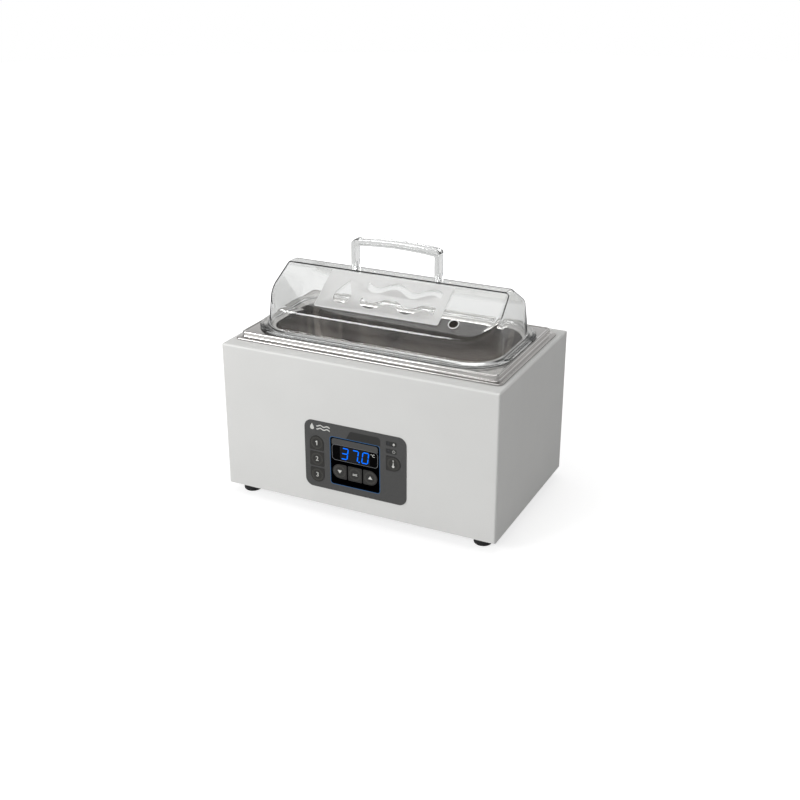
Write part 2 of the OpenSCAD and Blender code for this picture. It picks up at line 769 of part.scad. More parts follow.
// Places children on the front slope, front_in from the lid's middle, with +Z square to it
module on_slope(x, front_in) {
    translate([x, -front_in, ridge_z - slope*(front_in - ridge_w/2)])
        rotate([slope_angle, 0, 0]) children();
}

module lid_shell() color([0.8, 0.9, 0.95, 0.4]) difference() {
    union() {
        cover_form(0);
        translate([0, 0, lid_z]) plate([lid_w, lid_d], flange_r, lid_t);
        on_slope(hole_x, hole_in) translate([0, 0, -lid_t/2])
            cylinder(r = hole_d/2 + 2.4, h = lid_t/2 + collar_t);
    }
    cover_form(lid_t);
    translate([0, 0, lid_z - cut])
        plate([cover_w - 2*lid_t, cover_d - 2*lid_t], cover_r - lid_t, 1 + cut);
    on_slope(hole_x, hole_in) translate([0, 0, -2*lid_t]) cylinder(r = hole_d/2, h = 4*lid_t);
    for (x = [-1, 1])
        translate([x*post_pitch/2, 0, ridge_z - 2*lid_t]) cylinder(r = handle_screw_r + 0.2, h = 3*lid_t);
}

// A clear bent strip: two posts and an arched bar
module lid_handle() {
    arch_half = post_pitch/2 + post_w/2;
    top = handle_h + handle_arch;
    bow = (arch_half*arch_half + handle_arch*handle_arch)/(2*handle_arch);
    color([0.8, 0.9, 0.95, 0.4]) difference() {
        translate([0, handle_d/2, ridge_z]) rotate([90, 0, 0]) linear_extrude(handle_d) difference() {
            intersection() {
                arch(2*arch_half, top, 5);
                translate([0, top - bow]) circle(bow, $fn = 360);
            }
            intersection() {
                translate([0, -cut]) arch(2*arch_half - 2*post_w, top - bar_t + cut, 2);
                translate([0, top - bow - bar_t]) circle(bow, $fn = 360);
            }
        }
        for (x = [-1, 1])
            translate([x*post_pitch/2, 0, ridge_z - cut]) cylinder(r = handle_screw_r + 0.05, h = 8 + cut);
    }
}

module lid_handle_screws() color("silver") for (x = [-1, 1])
    translate([x*post_pitch/2, 0, ridge_z - lid_t - 0.05]) screw_up(handle_screw_r, lid_t + 7, 2.6, 1.6);

// ---- Drawing ----

outer_case();
rear_panel();
base_plate();
case_screws();
foot(feet[0]);  // foot_front_left
foot(feet[1]);  // foot_front_right
foot(feet[2]);  // foot_rear_left
foot(feet[3]);  // foot_rear_right
foot_screws();
tank();
tank_gasket();
tank_studs();
tank_nuts();
base_tray();
insulation_wrap();
insulation_pad();
heater_mat();
heater_plate();
temperature_probe();
probe_clip();
overheat_cutout();
earth_stud();
control_overlay();
key_bezel();
display_window();
led_display();
lit_segments();
status_lights();
control_board();
board_spacers();
board_parts();
key_switches();
key(0);  // key_one
key(1);  // key_two
key(2);  // key_three
key(3);  // key_down
key(4);  // key_set
key(5);  // key_up
key(6);  // key_probe
transformer();
triac();
heat_sink();
terminal_block();
mains_inlet();
inlet_pins();
fuse_drawer();
fuses();
switch_housing();
switch_rocker();
inlet_screws();
mains_leads();
heater_leads();
sensor_leads();
board_leads();
earth_lead();
lid_shell();
lid_handle();
lid_handle_screws();
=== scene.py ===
"""Looks for a small laboratory water bath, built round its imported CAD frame.

Front is -Y, right is +X and up is +Z. Blender lengths are in metres; names that end in _mm, and every
shape's own numbers, are in millimetres until mm() turns them into metres.
"""

import json
import math

import bmesh
import bpy
from mathutils import Matrix, Vector


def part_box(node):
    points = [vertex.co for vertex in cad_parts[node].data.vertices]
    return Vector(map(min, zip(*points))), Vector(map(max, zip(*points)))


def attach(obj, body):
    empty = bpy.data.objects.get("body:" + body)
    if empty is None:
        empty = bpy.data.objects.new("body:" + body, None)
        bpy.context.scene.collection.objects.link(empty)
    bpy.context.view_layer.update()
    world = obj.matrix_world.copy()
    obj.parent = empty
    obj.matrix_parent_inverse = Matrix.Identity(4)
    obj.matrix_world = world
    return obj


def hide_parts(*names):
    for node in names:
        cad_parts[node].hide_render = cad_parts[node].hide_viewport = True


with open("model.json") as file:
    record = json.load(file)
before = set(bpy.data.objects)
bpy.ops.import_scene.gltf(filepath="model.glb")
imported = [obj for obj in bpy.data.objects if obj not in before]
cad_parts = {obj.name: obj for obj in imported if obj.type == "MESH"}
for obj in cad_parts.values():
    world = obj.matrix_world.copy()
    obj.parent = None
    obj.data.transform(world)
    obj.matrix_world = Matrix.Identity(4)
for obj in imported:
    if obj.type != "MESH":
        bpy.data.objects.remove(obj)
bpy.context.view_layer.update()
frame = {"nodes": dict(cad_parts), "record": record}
NODES = frame["nodes"]


def mm(*values):
    return Vector([v * 0.001 for v in values])


def box_mm(node):
    low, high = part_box(node)
    return low * 1000, high * 1000


# ---- Materials ----


class Surface:
    """A node material whose colour, roughness and relief all vary over the surface."""

    def __init__(self, name, **shader):
        self.name = name
        self.material = bpy.data.materials.new(name)
        self.material.use_nodes = True
        self.nodes = self.material.node_tree.nodes
        self.links = self.material.node_tree.links
        self.shader = self.nodes["Principled BSDF"]
        for socket, value in shader.items():
            self.set(socket.replace("_", " "), value)
        self.place = self.nodes.new("ShaderNodeTexCoord").outputs["Object"]

    def set(self, socket, value):
        if isinstance(value, tuple) and len(value) == 3:
            value = (*value, 1.0)
        self.shader.inputs[socket].default_value = value

    def noise(self, scale, stretch=(1, 1, 1), detail=4, rough=0.55, distortion=0.0):
        mapping = self.nodes.new("ShaderNodeMapping")
        mapping.inputs["Scale"].default_value = stretch
        self.links.new(self.place, mapping.inputs["Vector"])
        noise = self.nodes.new("ShaderNodeTexNoise")
        noise.inputs["Scale"].default_value = scale
        noise.inputs["Detail"].default_value = detail
        noise.inputs["Roughness"].default_value = rough
        noise.inputs["Distortion"].default_value = distortion
        self.links.new(mapping.outputs[0], noise.inputs["Vector"])
        return noise.outputs["Fac"]

    def cells(self, scale):
        cells = self.nodes.new("ShaderNodeTexVoronoi")
        cells.feature = "DISTANCE_TO_EDGE"
        cells.inputs["Scale"].default_value = scale
        self.links.new(self.place, cells.inputs["Vector"])
        return cells.outputs["Distance"]

    def waves(self, scale, direction):
        waves = self.nodes.new("ShaderNodeTexWave")
        waves.bands_direction = direction
        waves.inputs["Scale"].default_value = scale
        self.links.new(self.place, waves.inputs["Vector"])
        return waves.outputs["Fac"]

    def ramp(self, source, stops):
        ramp = self.nodes.new("ShaderNodeValToRGB")
        points = ramp.color_ramp.elements
        while len(points) < len(stops):
            points.new(0.5)
        for point, (at, colour) in zip(points, stops):
            point.position = at
            point.color = (*colour, 1.0)
        self.links.new(source, ramp.inputs[0])
        return ramp.outputs[0]

    def span(self, source, low, high, start=0.3, stop=0.7):
        span = self.nodes.new("ShaderNodeMapRange")
        span.inputs["From Min"].default_value = start
        span.inputs["From Max"].default_value = stop
        span.inputs["To Min"].default_value = low
        span.inputs["To Max"].default_value = high
        self.links.new(source, span.inputs["Value"])
        return span.outputs[0]

    def colour(self, source, dark, light, start=0.3, stop=0.7):
        mixed = self.ramp(source, [(start, dark), (stop, light)])
        self.links.new(mixed, self.shader.inputs["Base Color"])
        return self

    def roughness(self, source, low, high, start=0.3, stop=0.7):
        self.links.new(self.span(source, low, high, start, stop), self.shader.inputs["Roughness"])
        return self

    def relief(self, *layers):
        """Each layer is a height source and its depth in millimetres."""
        below = None
        for source, depth in layers:
            bump = self.nodes.new("ShaderNodeBump")
            bump.inputs["Strength"].default_value = 1.0
            bump.inputs["Distance"].default_value = depth * 0.001
            self.links.new(source, bump.inputs["Height"])
            if below is not None:
                self.links.new(below, bump.inputs["Normal"])
            below = bump.outputs[0]
        self.links.new(below, self.shader.inputs["Normal"])
        return self


def shade(colour, factor):
    return tuple(min(1.0, c * factor) for c in colour)


def paint(name, colour):
    """Powder paint: slow drifts of tone over a fine orange peel."""
    s = Surface(name, Specular_IOR_Level=0.45)
    s.colour(s.noise(9, detail=3), shade(colour, 0.96), colour)
    s.roughness(s.noise(60), 0.40, 0.50)
    return s.relief((s.noise(520, detail=2), 0.016), (s.noise(1500, detail=1), 0.006))


def moulded(name, colour, rough=0.45, grain=0.02, scale=2400, vary=0.25, **shader):
    s = Surface(name, **shader)
    s.colour(s.noise(70, detail=5), shade(colour, 1 - vary), shade(colour, 1 + vary * 0.6))
    s.roughness(s.noise(240), rough * 0.85, min(1.0, rough * 1.15))
    return s.relief((s.noise(scale, detail=2), grain))


def steel(name, colour, rough, stretch, scale=900, depth=0.004, vary=0.12, smudge=0.06, metal=1.0):
    s = Surface(name, Metallic=metal)
    lines = s.noise(scale, stretch, detail=3)
    s.colour(s.noise(14, detail=5), shade(colour, 1 - vary), colour)
    s.roughness(s.noise(30, detail=6), rough - smudge, rough + smudge)
    return s.relief((lines, depth))


def build_materials():
    made = {}

    def add(surface):
        made[surface.name] = surface.material

    add(paint("case_paint", (0.74, 0.74, 0.725)))
    add(steel("plated_steel", (0.62, 0.63, 0.65), 0.34, (1, 1, 1), 160, 0.01, 0.16))
    add(steel("screw_steel", (0.60, 0.60, 0.61), 0.28, (1, 1, 1), 1400, 0.006))
    add(moulded("rubber_black", (0.014, 0.014, 0.015), 0.62, 0.03, 1800, 0.35))
    add(steel("tank_steel", (0.63, 0.615, 0.60), 0.17, (1, 1, 1), 420, 0.0035, 0.10, 0.05))
    # Inside the well the pan steel is rougher and brushed upright, which is real; its lighter, warmer,
    # partly diffuse colour is painted light that brightens the dim well.
    add(steel("tank_inner", (0.98, 0.865, 0.735), 0.42, (1, 1, 0.06), 900, 0.006, 0.10, 0.07,
              metal=0.32))
    # The base tray's brushed steel: its lighter, warmer, partly diffuse colour is painted light that
    # brightens it in the dim well.
    add(steel("tray_steel", (0.88, 0.81, 0.75), 0.40, (0.06, 1, 1), 900, 0.005, 0.14, metal=0.35))
    add(moulded("gasket_rubber", (0.03, 0.03, 0.032), 0.7, 0.02, 1500, 0.2))
    add(moulded("black_plastic", (0.018, 0.018, 0.019), 0.48, 0.02, 2200, 0.3))
    add(moulded("inlet_plastic", (0.012, 0.012, 0.013), 0.36, 0.014, 2600, 0.3))
    add(moulded("white_plastic", (0.76, 0.75, 0.70), 0.4, 0.01, 1800, 0.06))
    add(steel("brass", (0.78, 0.58, 0.26), 0.25, (1, 1, 1), 700, 0.006, 0.15))

    felt = Surface("insulation", Roughness=0.95, Sheen_Weight=0.4)
    felt.colour(felt.noise(160, detail=8, rough=0.7), (0.48, 0.44, 0.33), (0.76, 0.72, 0.60))
    add(felt.relief((felt.noise(420, (1, 1, 0.4), detail=8, rough=0.8, distortion=1.2), 0.6)))

    mat = Surface("heater_silicone")
    mat.colour(mat.noise(90), (0.42, 0.10, 0.03), (0.60, 0.17, 0.06))
    mat.roughness(mat.noise(200), 0.5, 0.65)
    add(mat.relief((mat.waves(160, "X"), 0.12), (mat.waves(160, "Y"), 0.12)))

    film = Surface("overlay_grey", Specular_IOR_Level=0.4)
    film.colour(film.noise(1900, detail=2), (0.060, 0.060, 0.0595), (0.080, 0.080, 0.079), 0.35, 0.65)
    film.roughness(film.noise(700), 0.42, 0.52)
    add(film.relief((film.noise(2600, detail=2), 0.02)))

    keys = Surface("key_grey", Specular_IOR_Level=0.4)
    keys.colour(keys.noise(1900, detail=2), (0.024, 0.0235, 0.022), (0.034, 0.033, 0.031), 0.35, 0.65)
    keys.roughness(keys.noise(700), 0.40, 0.52)
    add(keys.relief((keys.noise(2600, detail=2), 0.015)))

    glass = Surface("window_smoke", Specular_IOR_Level=0.04)
    glass.colour(glass.noise(40, detail=6), (0.0006, 0.0006, 0.0007), (0.0012, 0.0012, 0.0014))
    add(glass.roughness(glass.noise(300, detail=6), 0.10, 0.20))

    lens = Surface("light_pipe", Coat_Weight=0.4)
    lens.colour(lens.noise(400), (0.014, 0.016, 0.018), (0.03, 0.032, 0.036))
    add(lens.roughness(lens.noise(500), 0.2, 0.3))

    board = Surface("board_green", Coat_Weight=0.3)
    board.colour(board.cells(260), (0.01, 0.14, 0.045), (0.015, 0.09, 0.03), 0.03, 0.05)
    board.roughness(board.noise(300), 0.25, 0.4)
    add(board.relief((board.cells(260), 0.05)))

    tube = Surface("fuse_glass", Specular_IOR_Level=0.6)
    tube.colour(tube.noise(60), (0.50, 0.52, 0.52), (0.72, 0.74, 0.74))
    add(tube.roughness(tube.noise(300), 0.12, 0.24))

    green = Surface("rocker_green", Coat_Weight=0.5, Coat_Roughness=0.1)
    green.colour(green.noise(120, detail=5), (0.006, 0.10, 0.022), (0.012, 0.17, 0.04))
    green.roughness(green.noise(400), 0.2, 0.3)
    add(green.relief((green.noise(1800, detail=2), 0.008)))

    for name, colour in (
        ("wire_brown", (0.16, 0.06, 0.025)), ("wire_red", (0.42, 0.03, 0.02)),
        ("wire_white", (0.72, 0.71, 0.67)), ("wire_green", (0.16, 0.42, 0.03)),
    ):
        add(moulded(name, colour, 0.38, 0.006, 900, 0.12))

    add(clear("lid_clear", 0.012, 0.05, 1.42, 16))
    add(clear("handle_clear", 0.02, 0.08, 1.42, 16))
    add(frosted("lid_frosted"))
    add(printed("print_white", (0.66, 0.66, 0.63)))
    add(printed("print_ring", (0.088, 0.085, 0.076)))
    add(printed("print_black", (0.0006, 0.0006, 0.0008), 0.40, 0.0))
    add(printed("print_tab", (0.028, 0.028, 0.027)))
    add(printed("print_band", (0.070, 0.070, 0.069)))
    add(printed("print_lcd", (0.019, 0.019, 0.021), 0.35, 0.02))
    add(printed("print_blue", (0.035, 0.125, 0.29), 0.4))
    add(printed("print_line", (0.13, 0.135, 0.14)))
    add(lit("led_blue", (0.0, 0.16, 1.0), 1.05))
    return made


def clear(name, rough_low, rough_high, ior, density):
    """Clear plastic that greys light by its thickness; density is in 1/m."""
    s = Surface(name, Transmission_Weight=1.0, IOR=ior)
    s.colour(s.noise(18, detail=4), (0.97, 0.975, 0.97), (0.985, 0.99, 0.985))
    s.roughness(s.noise(45, detail=8), rough_low, rough_high, 0.45, 0.75)
    absorb = s.nodes.new("ShaderNodeVolumeAbsorption")
    absorb.inputs["Color"].default_value = (0.10, 0.12, 0.11, 1.0)
    absorb.inputs["Density"].default_value = density
    s.links.new(absorb.outputs[0], s.nodes["Material Output"].inputs["Volume"])
    return s.relief((s.noise(26, detail=2), 0.02))


def frosted(name):
    s = Surface(name, Transmission_Weight=0.74, IOR=1.45)
    s.colour(s.noise(700, detail=3), (0.84, 0.84, 0.83), (0.94, 0.94, 0.935))
    s.roughness(s.noise(500, detail=4), 0.34, 0.48)
    return s.relief((s.noise(1300, detail=3), 0.03))


def printed(name, colour, rough=0.45, gloss=0.35):
    s = Surface(name, Specular_IOR_Level=gloss)
    s.colour(s.noise(2200, detail=2), shade(colour, 0.88), shade(colour, 1.08), 0.35, 0.65)
    s.roughness(s.noise(600), rough * 0.9, rough * 1.1)
    return s.relief((s.noise(2600, detail=2), 0.012))


def lit(name, colour, strength):
    s = Surface(name, Emission_Strength=strength, Specular_IOR_Level=0.0)
    s.colour(s.noise(900, detail=2), shade(colour, 0.2), shade(colour, 0.3))
    s.roughness(s.noise(600), 0.25, 0.35)
    glow = s.ramp(s.noise(260, detail=2), [(0.3, (0.0, 0.14, 0.95)), (0.7, (0.0, 0.19, 1.0))])
    s.links.new(glow, s.shader.inputs["Emission Color"])
    return s


MATERIALS = build_materials()


# ---- Mesh helpers ----


def add_object(name, mesh, materials, body):
    obj = bpy.data.objects.new(name, mesh)
    bpy.context.scene.collection.objects.link(obj)
    obj.data.materials.clear()
    for m in materials:
        obj.data.materials.append(MATERIALS[m])
    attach(obj, body)
    return obj


def smooth(mesh, angle=32):
    """Smooth shading, with edges sharper than the angle kept crisp."""
    bm = bmesh.new()
    bm.from_mesh(mesh)
    for face in bm.faces:
        face.smooth = True
    for edge in bm.edges:
        edge.smooth = len(edge.link_faces) == 2 and edge.calc_face_angle(0) < math.radians(angle)
    bm.to_mesh(mesh)
    bm.free()


def mesh_from(name, points, faces, weld=0.00002, angle=32):
    mesh = bpy.data.meshes.new(name)
    mesh.from_pydata([p * 0.001 for p in points], [], faces)
    bm = bmesh.new()
    bm.from_mesh(mesh)
    bmesh.ops.remove_doubles(bm, verts=bm.verts, dist=weld)
    bmesh.ops.dissolve_degenerate(bm, edges=bm.edges, dist=weld / 4)
    bmesh.ops.recalc_face_normals(bm, faces=bm.faces)
    bm.to_mesh(mesh)
    bm.free()
    smooth(mesh, angle)
    return mesh


def apply_modifiers(obj):
    graph = bpy.context.evaluated_depsgraph_get()
    mesh = bpy.data.meshes.new_from_object(obj.evaluated_get(graph))
    obj.modifiers.clear()
    obj.data = mesh


def cut_out(obj, mesh, material):
    """Cuts the mesh's solid out of the object; the cut faces get the material."""
    mesh.materials.clear()
    mesh.materials.append(MATERIALS[material])
    tool = bpy.data.objects.new("tool", mesh)
    bpy.context.scene.collection.objects.link(tool)
    change = obj.modifiers.new("cut", "BOOLEAN")
    change.operation, change.object, change.solver = "DIFFERENCE", tool, "EXACT"
    change.material_mode = "TRANSFER"
    apply_modifiers(obj)
    bpy.data.objects.remove(tool)


def turned(points, steps=64):
    """A solid of revolution about Z from (radius, height) pairs in millimetres."""
    verts, faces = [], []
    for r, z in points:
        verts += [Vector((r * math.cos(a), r * math.sin(a), z)) for a in
                  (2 * math.pi * k / steps for k in range(steps))]
    for row in range(len(points) - 1):
        for k in range(steps):
            a, b = row * steps + k, row * steps + (k + 1) % steps
            faces.append((a, b, b + steps, a + steps))
    return mesh_from("turned", verts, faces)


def flat_mesh(loops, thickness):
    """A plate from closed outlines in x and y, with its top at z = 0; inner outlines are holes."""
    curve = bpy.data.curves.new("flat", "CURVE")
    curve.dimensions, curve.fill_mode, curve.extrude = "2D", "BOTH", thickness / 2
    for loop in loops:
        spline = curve.splines.new("POLY")
        spline.points.add(len(loop) - 1)
        for point, (x, y) in zip(spline.points, loop):
            point.co = (x, y, 0, 1)
        spline.use_cyclic_u = True
    return curve_to_mesh(curve, thickness)


BOLD = 0.07


def text_mesh(words, size, thickness):
    curve = bpy.data.curves.new("figure", "FONT")
    curve.body, curve.size = words, size
    curve.align_x, curve.align_y = "CENTER", "CENTER"
    curve.extrude, curve.resolution_u = thickness / 2, 6
    curve.offset = BOLD
    return curve_to_mesh(curve, thickness)


def curve_to_mesh(curve, thickness):
    holder = bpy.data.objects.new("holder", curve)
    bpy.context.scene.collection.objects.link(holder)
    graph = bpy.context.evaluated_depsgraph_get()
    mesh = bpy.data.meshes.new_from_object(holder.evaluated_get(graph))
    bpy.data.objects.remove(holder)
    bpy.data.curves.remove(curve)
    bm = bmesh.new()
    bm.from_mesh(mesh)
    bmesh.ops.remove_doubles(bm, verts=bm.verts, dist=1e-5)
    bmesh.ops.translate(bm, verts=bm.verts, vec=(0, 0, -thickness / 2))
    bm.to_mesh(mesh)
    bm.free()
    return mesh


def on_plane(mesh, origin, across, up):
    """Moves a flat mesh, in millimetres, to a plane in the row frame, in metres."""
    across, up = Vector(across).normalized(), Vector(up).normalized()
    turn = Matrix((across, up, across.cross(up))).transposed().to_4x4()
    mesh.transform(Matrix.Translation(mm(*origin)) @ turn @ Matrix.Scale(0.001, 4))
    return mesh


def arc(cx, cy, r, start, stop, steps):
    """Points from start to stop degrees round a circle."""
    turns = [math.radians(start + (stop - start) * k / steps) for k in range(steps + 1)]
    return [(cx + r * math.cos(a), cy + r * math.sin(a)) for a in turns]


def round_rect(cx, cy, w, h, r, steps=8):
    """r is one radius, or four from the top right anticlockwise."""
    r = r if isinstance(r, tuple) else (r,) * 4
    x, y = w / 2, h / 2
    points = []
    for k, (sx, sy) in enumerate(((1, 1), (-1, 1), (-1, -1), (1, -1))):
        points += arc(cx + sx * (x - r[k]), cy + sy * (y - r[k]), r[k], 90 * k, 90 * k + 90, steps)
    return points


def joined(name, parts, body):
    """One object from (mesh, material) pairs that are already in place."""
    bm = bmesh.new()
    materials = []
    for mesh, material in parts:
        if material not in materials:
            materials.append(material)
        for face in mesh.polygons:
            face.material_index = materials.index(material)
        bm.from_mesh(mesh)
        bpy.data.meshes.remove(mesh)
    whole = bpy.data.meshes.new(name)
    for m in materials:
        whole.materials.append(MATERIALS[m])
    bm.to_mesh(whole)
    bm.free()
    obj = bpy.data.objects.new(name, whole)
    bpy.context.scene.collection.objects.link(obj)
    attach(obj, body)
    return obj


# ---- CAD nodes that keep their own shape ----


def dress_nodes():
    slots = {part["node"]: part["material_slot"] for part in frame["record"]["subparts"]}
    for node, obj in NODES.items():
        obj.data.materials.clear()
        obj.data.materials.append(MATERIALS[slots[node]])
        for face in obj.data.polygons:
            face.use_smooth = True
        edges = obj.modifiers.new("edges", "EDGE_SPLIT")
        edges.split_angle = math.radians(28)


# ---- Tank ----


def rect_ring(w, d, r, z):
    """A level rounded rectangle, with the same number of points whatever its size."""
    points = []
    corner_steps, side_steps = 14, 3
    corners = ((1, 1), (-1, 1), (-1, -1), (1, -1))
    for k, (sx, sy) in enumerate(corners):
        points += arc(sx * (w / 2 - r), sy * (d / 2 - r), r, 90 * k, 90 * k + 90, corner_steps)
        start = Vector(points[-1])
        nx, ny = corners[(k + 1) % 4]
        turn = math.radians(90 * (k + 1))
        end = Vector((nx * (w / 2 - r) + r * math.cos(turn), ny * (d / 2 - r) + r * math.sin(turn)))
        points += [tuple(start.lerp(end, j / side_steps)) for j in range(1, side_steps)]
    return [Vector((x, y, z)) for x, y in points]


def quarter(steps):
    """Angles that divide a right angle, without its start."""
    return [math.pi / 2 * k / steps for k in range(1, steps + 1)]


def build_tank():
    low, high = box_mm("tank")
    w, d = high.x - low.x, high.y - low.y
    sheet, case_to_top, gasket = 1.2, 9, 0.6
    top, floor = high.z, low.z + sheet
    deck = top - case_to_top + gasket
    well_w, well_d, well_r, floor_r = 278, 125, 38, 12

    def rim(inset, z, r):
        return rect_ring(w - 2 * inset, d - 2 * inset, r, z)

    def well(grow, z):
        return rect_ring(well_w + 2 * grow, well_d + 2 * grow, well_r + grow, z)

    foot, neck, bead = 0.9, 1.9, 1.8
    rings = [rim(0.4, deck, 5.6), rim(0.05, deck + 0.3, 5.9), rim(0, deck + 0.7, 6)]
    rings += [rim(foot * (1 - math.cos(a)), deck + 0.7 + foot * math.sin(a), 6 - a / 4)
              for a in quarter(6)]
    rings += [rim(3.7 + neck * math.sin(a), deck + 1.7 + neck * (1 - math.cos(a)), 5)
              for a in (0, *quarter(4))]
    rings += [rim(5.6 + bead * (1 - math.cos(a)), top - bead + bead * math.sin(a), 5 - a)
              for a in (0, *quarter(6))]
    rings += [rim(7.95, top - 0.1, 3.6), rim(8.5, top - 0.42, 4), rim(9.1, top - 0.62, 4.6)]
    rings += [rim(10, top - 0.6, 5.4), rim(12.2, top - 0.45, 6.4)]
    top_rings = len(rings)
    edge = 2.6
    rings += [well(edge + 0.4, top - 0.45)]
    rings += [well(edge * (1 - math.sin(a)), top - 0.45 - edge * (1 - math.cos(a)))
              for a in (math.radians(t) for t in (18, 36, 54, 72, 90))]
    rings += [well(0, z) for z in (top - 12, top - 50, top - 100, floor + floor_r)]
    for t in (15, 30, 45, 60, 75, 90):
        a = math.radians(t)
        rings.append(well(-floor_r * (1 - math.cos(a)), floor + floor_r - floor_r * math.sin(a)))
    rings += [rect_ring(180, 50, 14, floor), rect_ring(60, 16, 5, floor)]
    inner_end = len(rings)
    under = [rect_ring(60, 16, 5, floor - sheet), rect_ring(180, 50, 14, floor - sheet)]
    for t in (90, 60, 30, 0):
        a = math.radians(t)
        under.append(well(sheet - floor_r * (1 - math.cos(a)), floor - sheet + floor_r * (1 - math.sin(a))))
    under += [well(sheet, top - 4), well(edge + 0.4, top - 0.45 - sheet)]
    under += [rim(12.2, top - 0.45 - sheet, 6.4), rim(8, top - sheet, 3), rim(6.9, top - 2.6, 3.8)]
    under += [rim(6.8, deck + 1.2, 3.8), rim(6.4, deck, 4)]
    rings += under
    count = len(rings[0])
    points = [p for ring in rings for p in ring]
    faces, kinds = [], []
    for k in range(len(rings)):
        if k == inner_end - 1:
            faces.append([k * count + j for j in range(count)])
            kinds.append(1)
            faces.append([(k + 1) * count + j for j in range(count)][::-1])
            kinds.append(1)
            continue
        after = (k + 1) % len(rings)
        for j in range(count):
            i = (j + 1) % count
            faces.append((k * count + j, k * count + i, after * count + i, after * count + j))
            kinds.append(1 if k >= top_rings + 3 else 0)
    mesh = bpy.data.meshes.new("tank_pan")
    mesh.from_pydata([p * 0.001 for p in points], [], faces)
    for face, kind in zip(mesh.polygons, kinds):
        face.material_index = kind
    bm = bmesh.new()
    bm.from_mesh(mesh)
    bmesh.ops.recalc_face_normals(bm, faces=bm.faces)
    bm.to_mesh(mesh)
    bm.free()
    smooth(mesh, 28)
    # The well's faces take tank_inner, a copy of the pan steel whose lighter, warmer colour is painted
    # light.
    pan = add_object("tank_pan", mesh, ["tank_steel", "tank_inner"], "bath")
    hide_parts("tank")


# ---- Lid ----

LID_T = 2.5
SLOPE = math.radians(33.2)
DRAFT = math.radians(6)
COVER = Vector((290, 137))
COVER_R = 38
RIDGE_W, RIDGE_LEN, RIDGE_R = 15.6, 276, 5
LONG_BEND_R, END_BEND_R = 12, 5
FLANGE_R = 49
HOLE_X, HOLE_IN, HOLE_R = 92.5, 51.5, 5.0
PANEL_WIDE, PANEL_HIGH, PANEL_IN = 152, 54.5, 33.2
PANEL_DEEP, PANEL_GAP = 0.8, 0.04
SCREW_HEAD_HALF = 2.6


class LidForm:
    """Points on the gabled cover for one quarter, where x and y are positive."""

    def __init__(self, inset):
        low, high = box_mm("lid_shell")
        self.inset = inset
        self.base = low.z
        self.ridge = high.z
        self.half = Vector((high.x, high.y))
        self.core = Vector((COVER.x / 2 - COVER_R, COVER.y / 2 - COVER_R))
        self.flange_core = Vector((self.half.x - FLANGE_R, self.half.y - FLANGE_R))
        self.slope_out = Vector((0, math.sin(SLOPE), math.cos(SLOPE)))
        self.ridge_y = RIDGE_W / 2 - RIDGE_R * math.tan(SLOPE / 2)
        self.ridge_x = RIDGE_LEN / 2 - RIDGE_R
        self.end_centre, _ = self.bend(0.0)

    def bend(self, turn):
        """Centre and radius of the bend, turn radians round the corner from the end."""
        m, lean = math.tan(SLOPE), math.tan(DRAFT)
        r = END_BEND_R + (LONG_BEND_R - END_BEND_R) * math.sin(turn) ** 2
        run = COVER.y / 2 - COVER_R - RIDGE_W / 2
        above = self.ridge - self.base - m * run - r / math.cos(SLOPE)
        out = (COVER_R - r - lean * above) / (1 - lean * m * math.sin(turn))
        return Vector((self.core.x + out * math.cos(turn), self.core.y + out * math.sin(turn),
                       self.base + above - m * out * math.sin(turn))), r

    def wall_out(self, turn):
        level = math.cos(DRAFT)
        return Vector((level * math.cos(turn), level * math.sin(turn), math.sin(DRAFT)))


def slerp(a, b, t):
    angle = a.angle(b)
    return (a * math.sin((1 - t) * angle) + b * math.sin(t * angle)) / math.sin(angle)


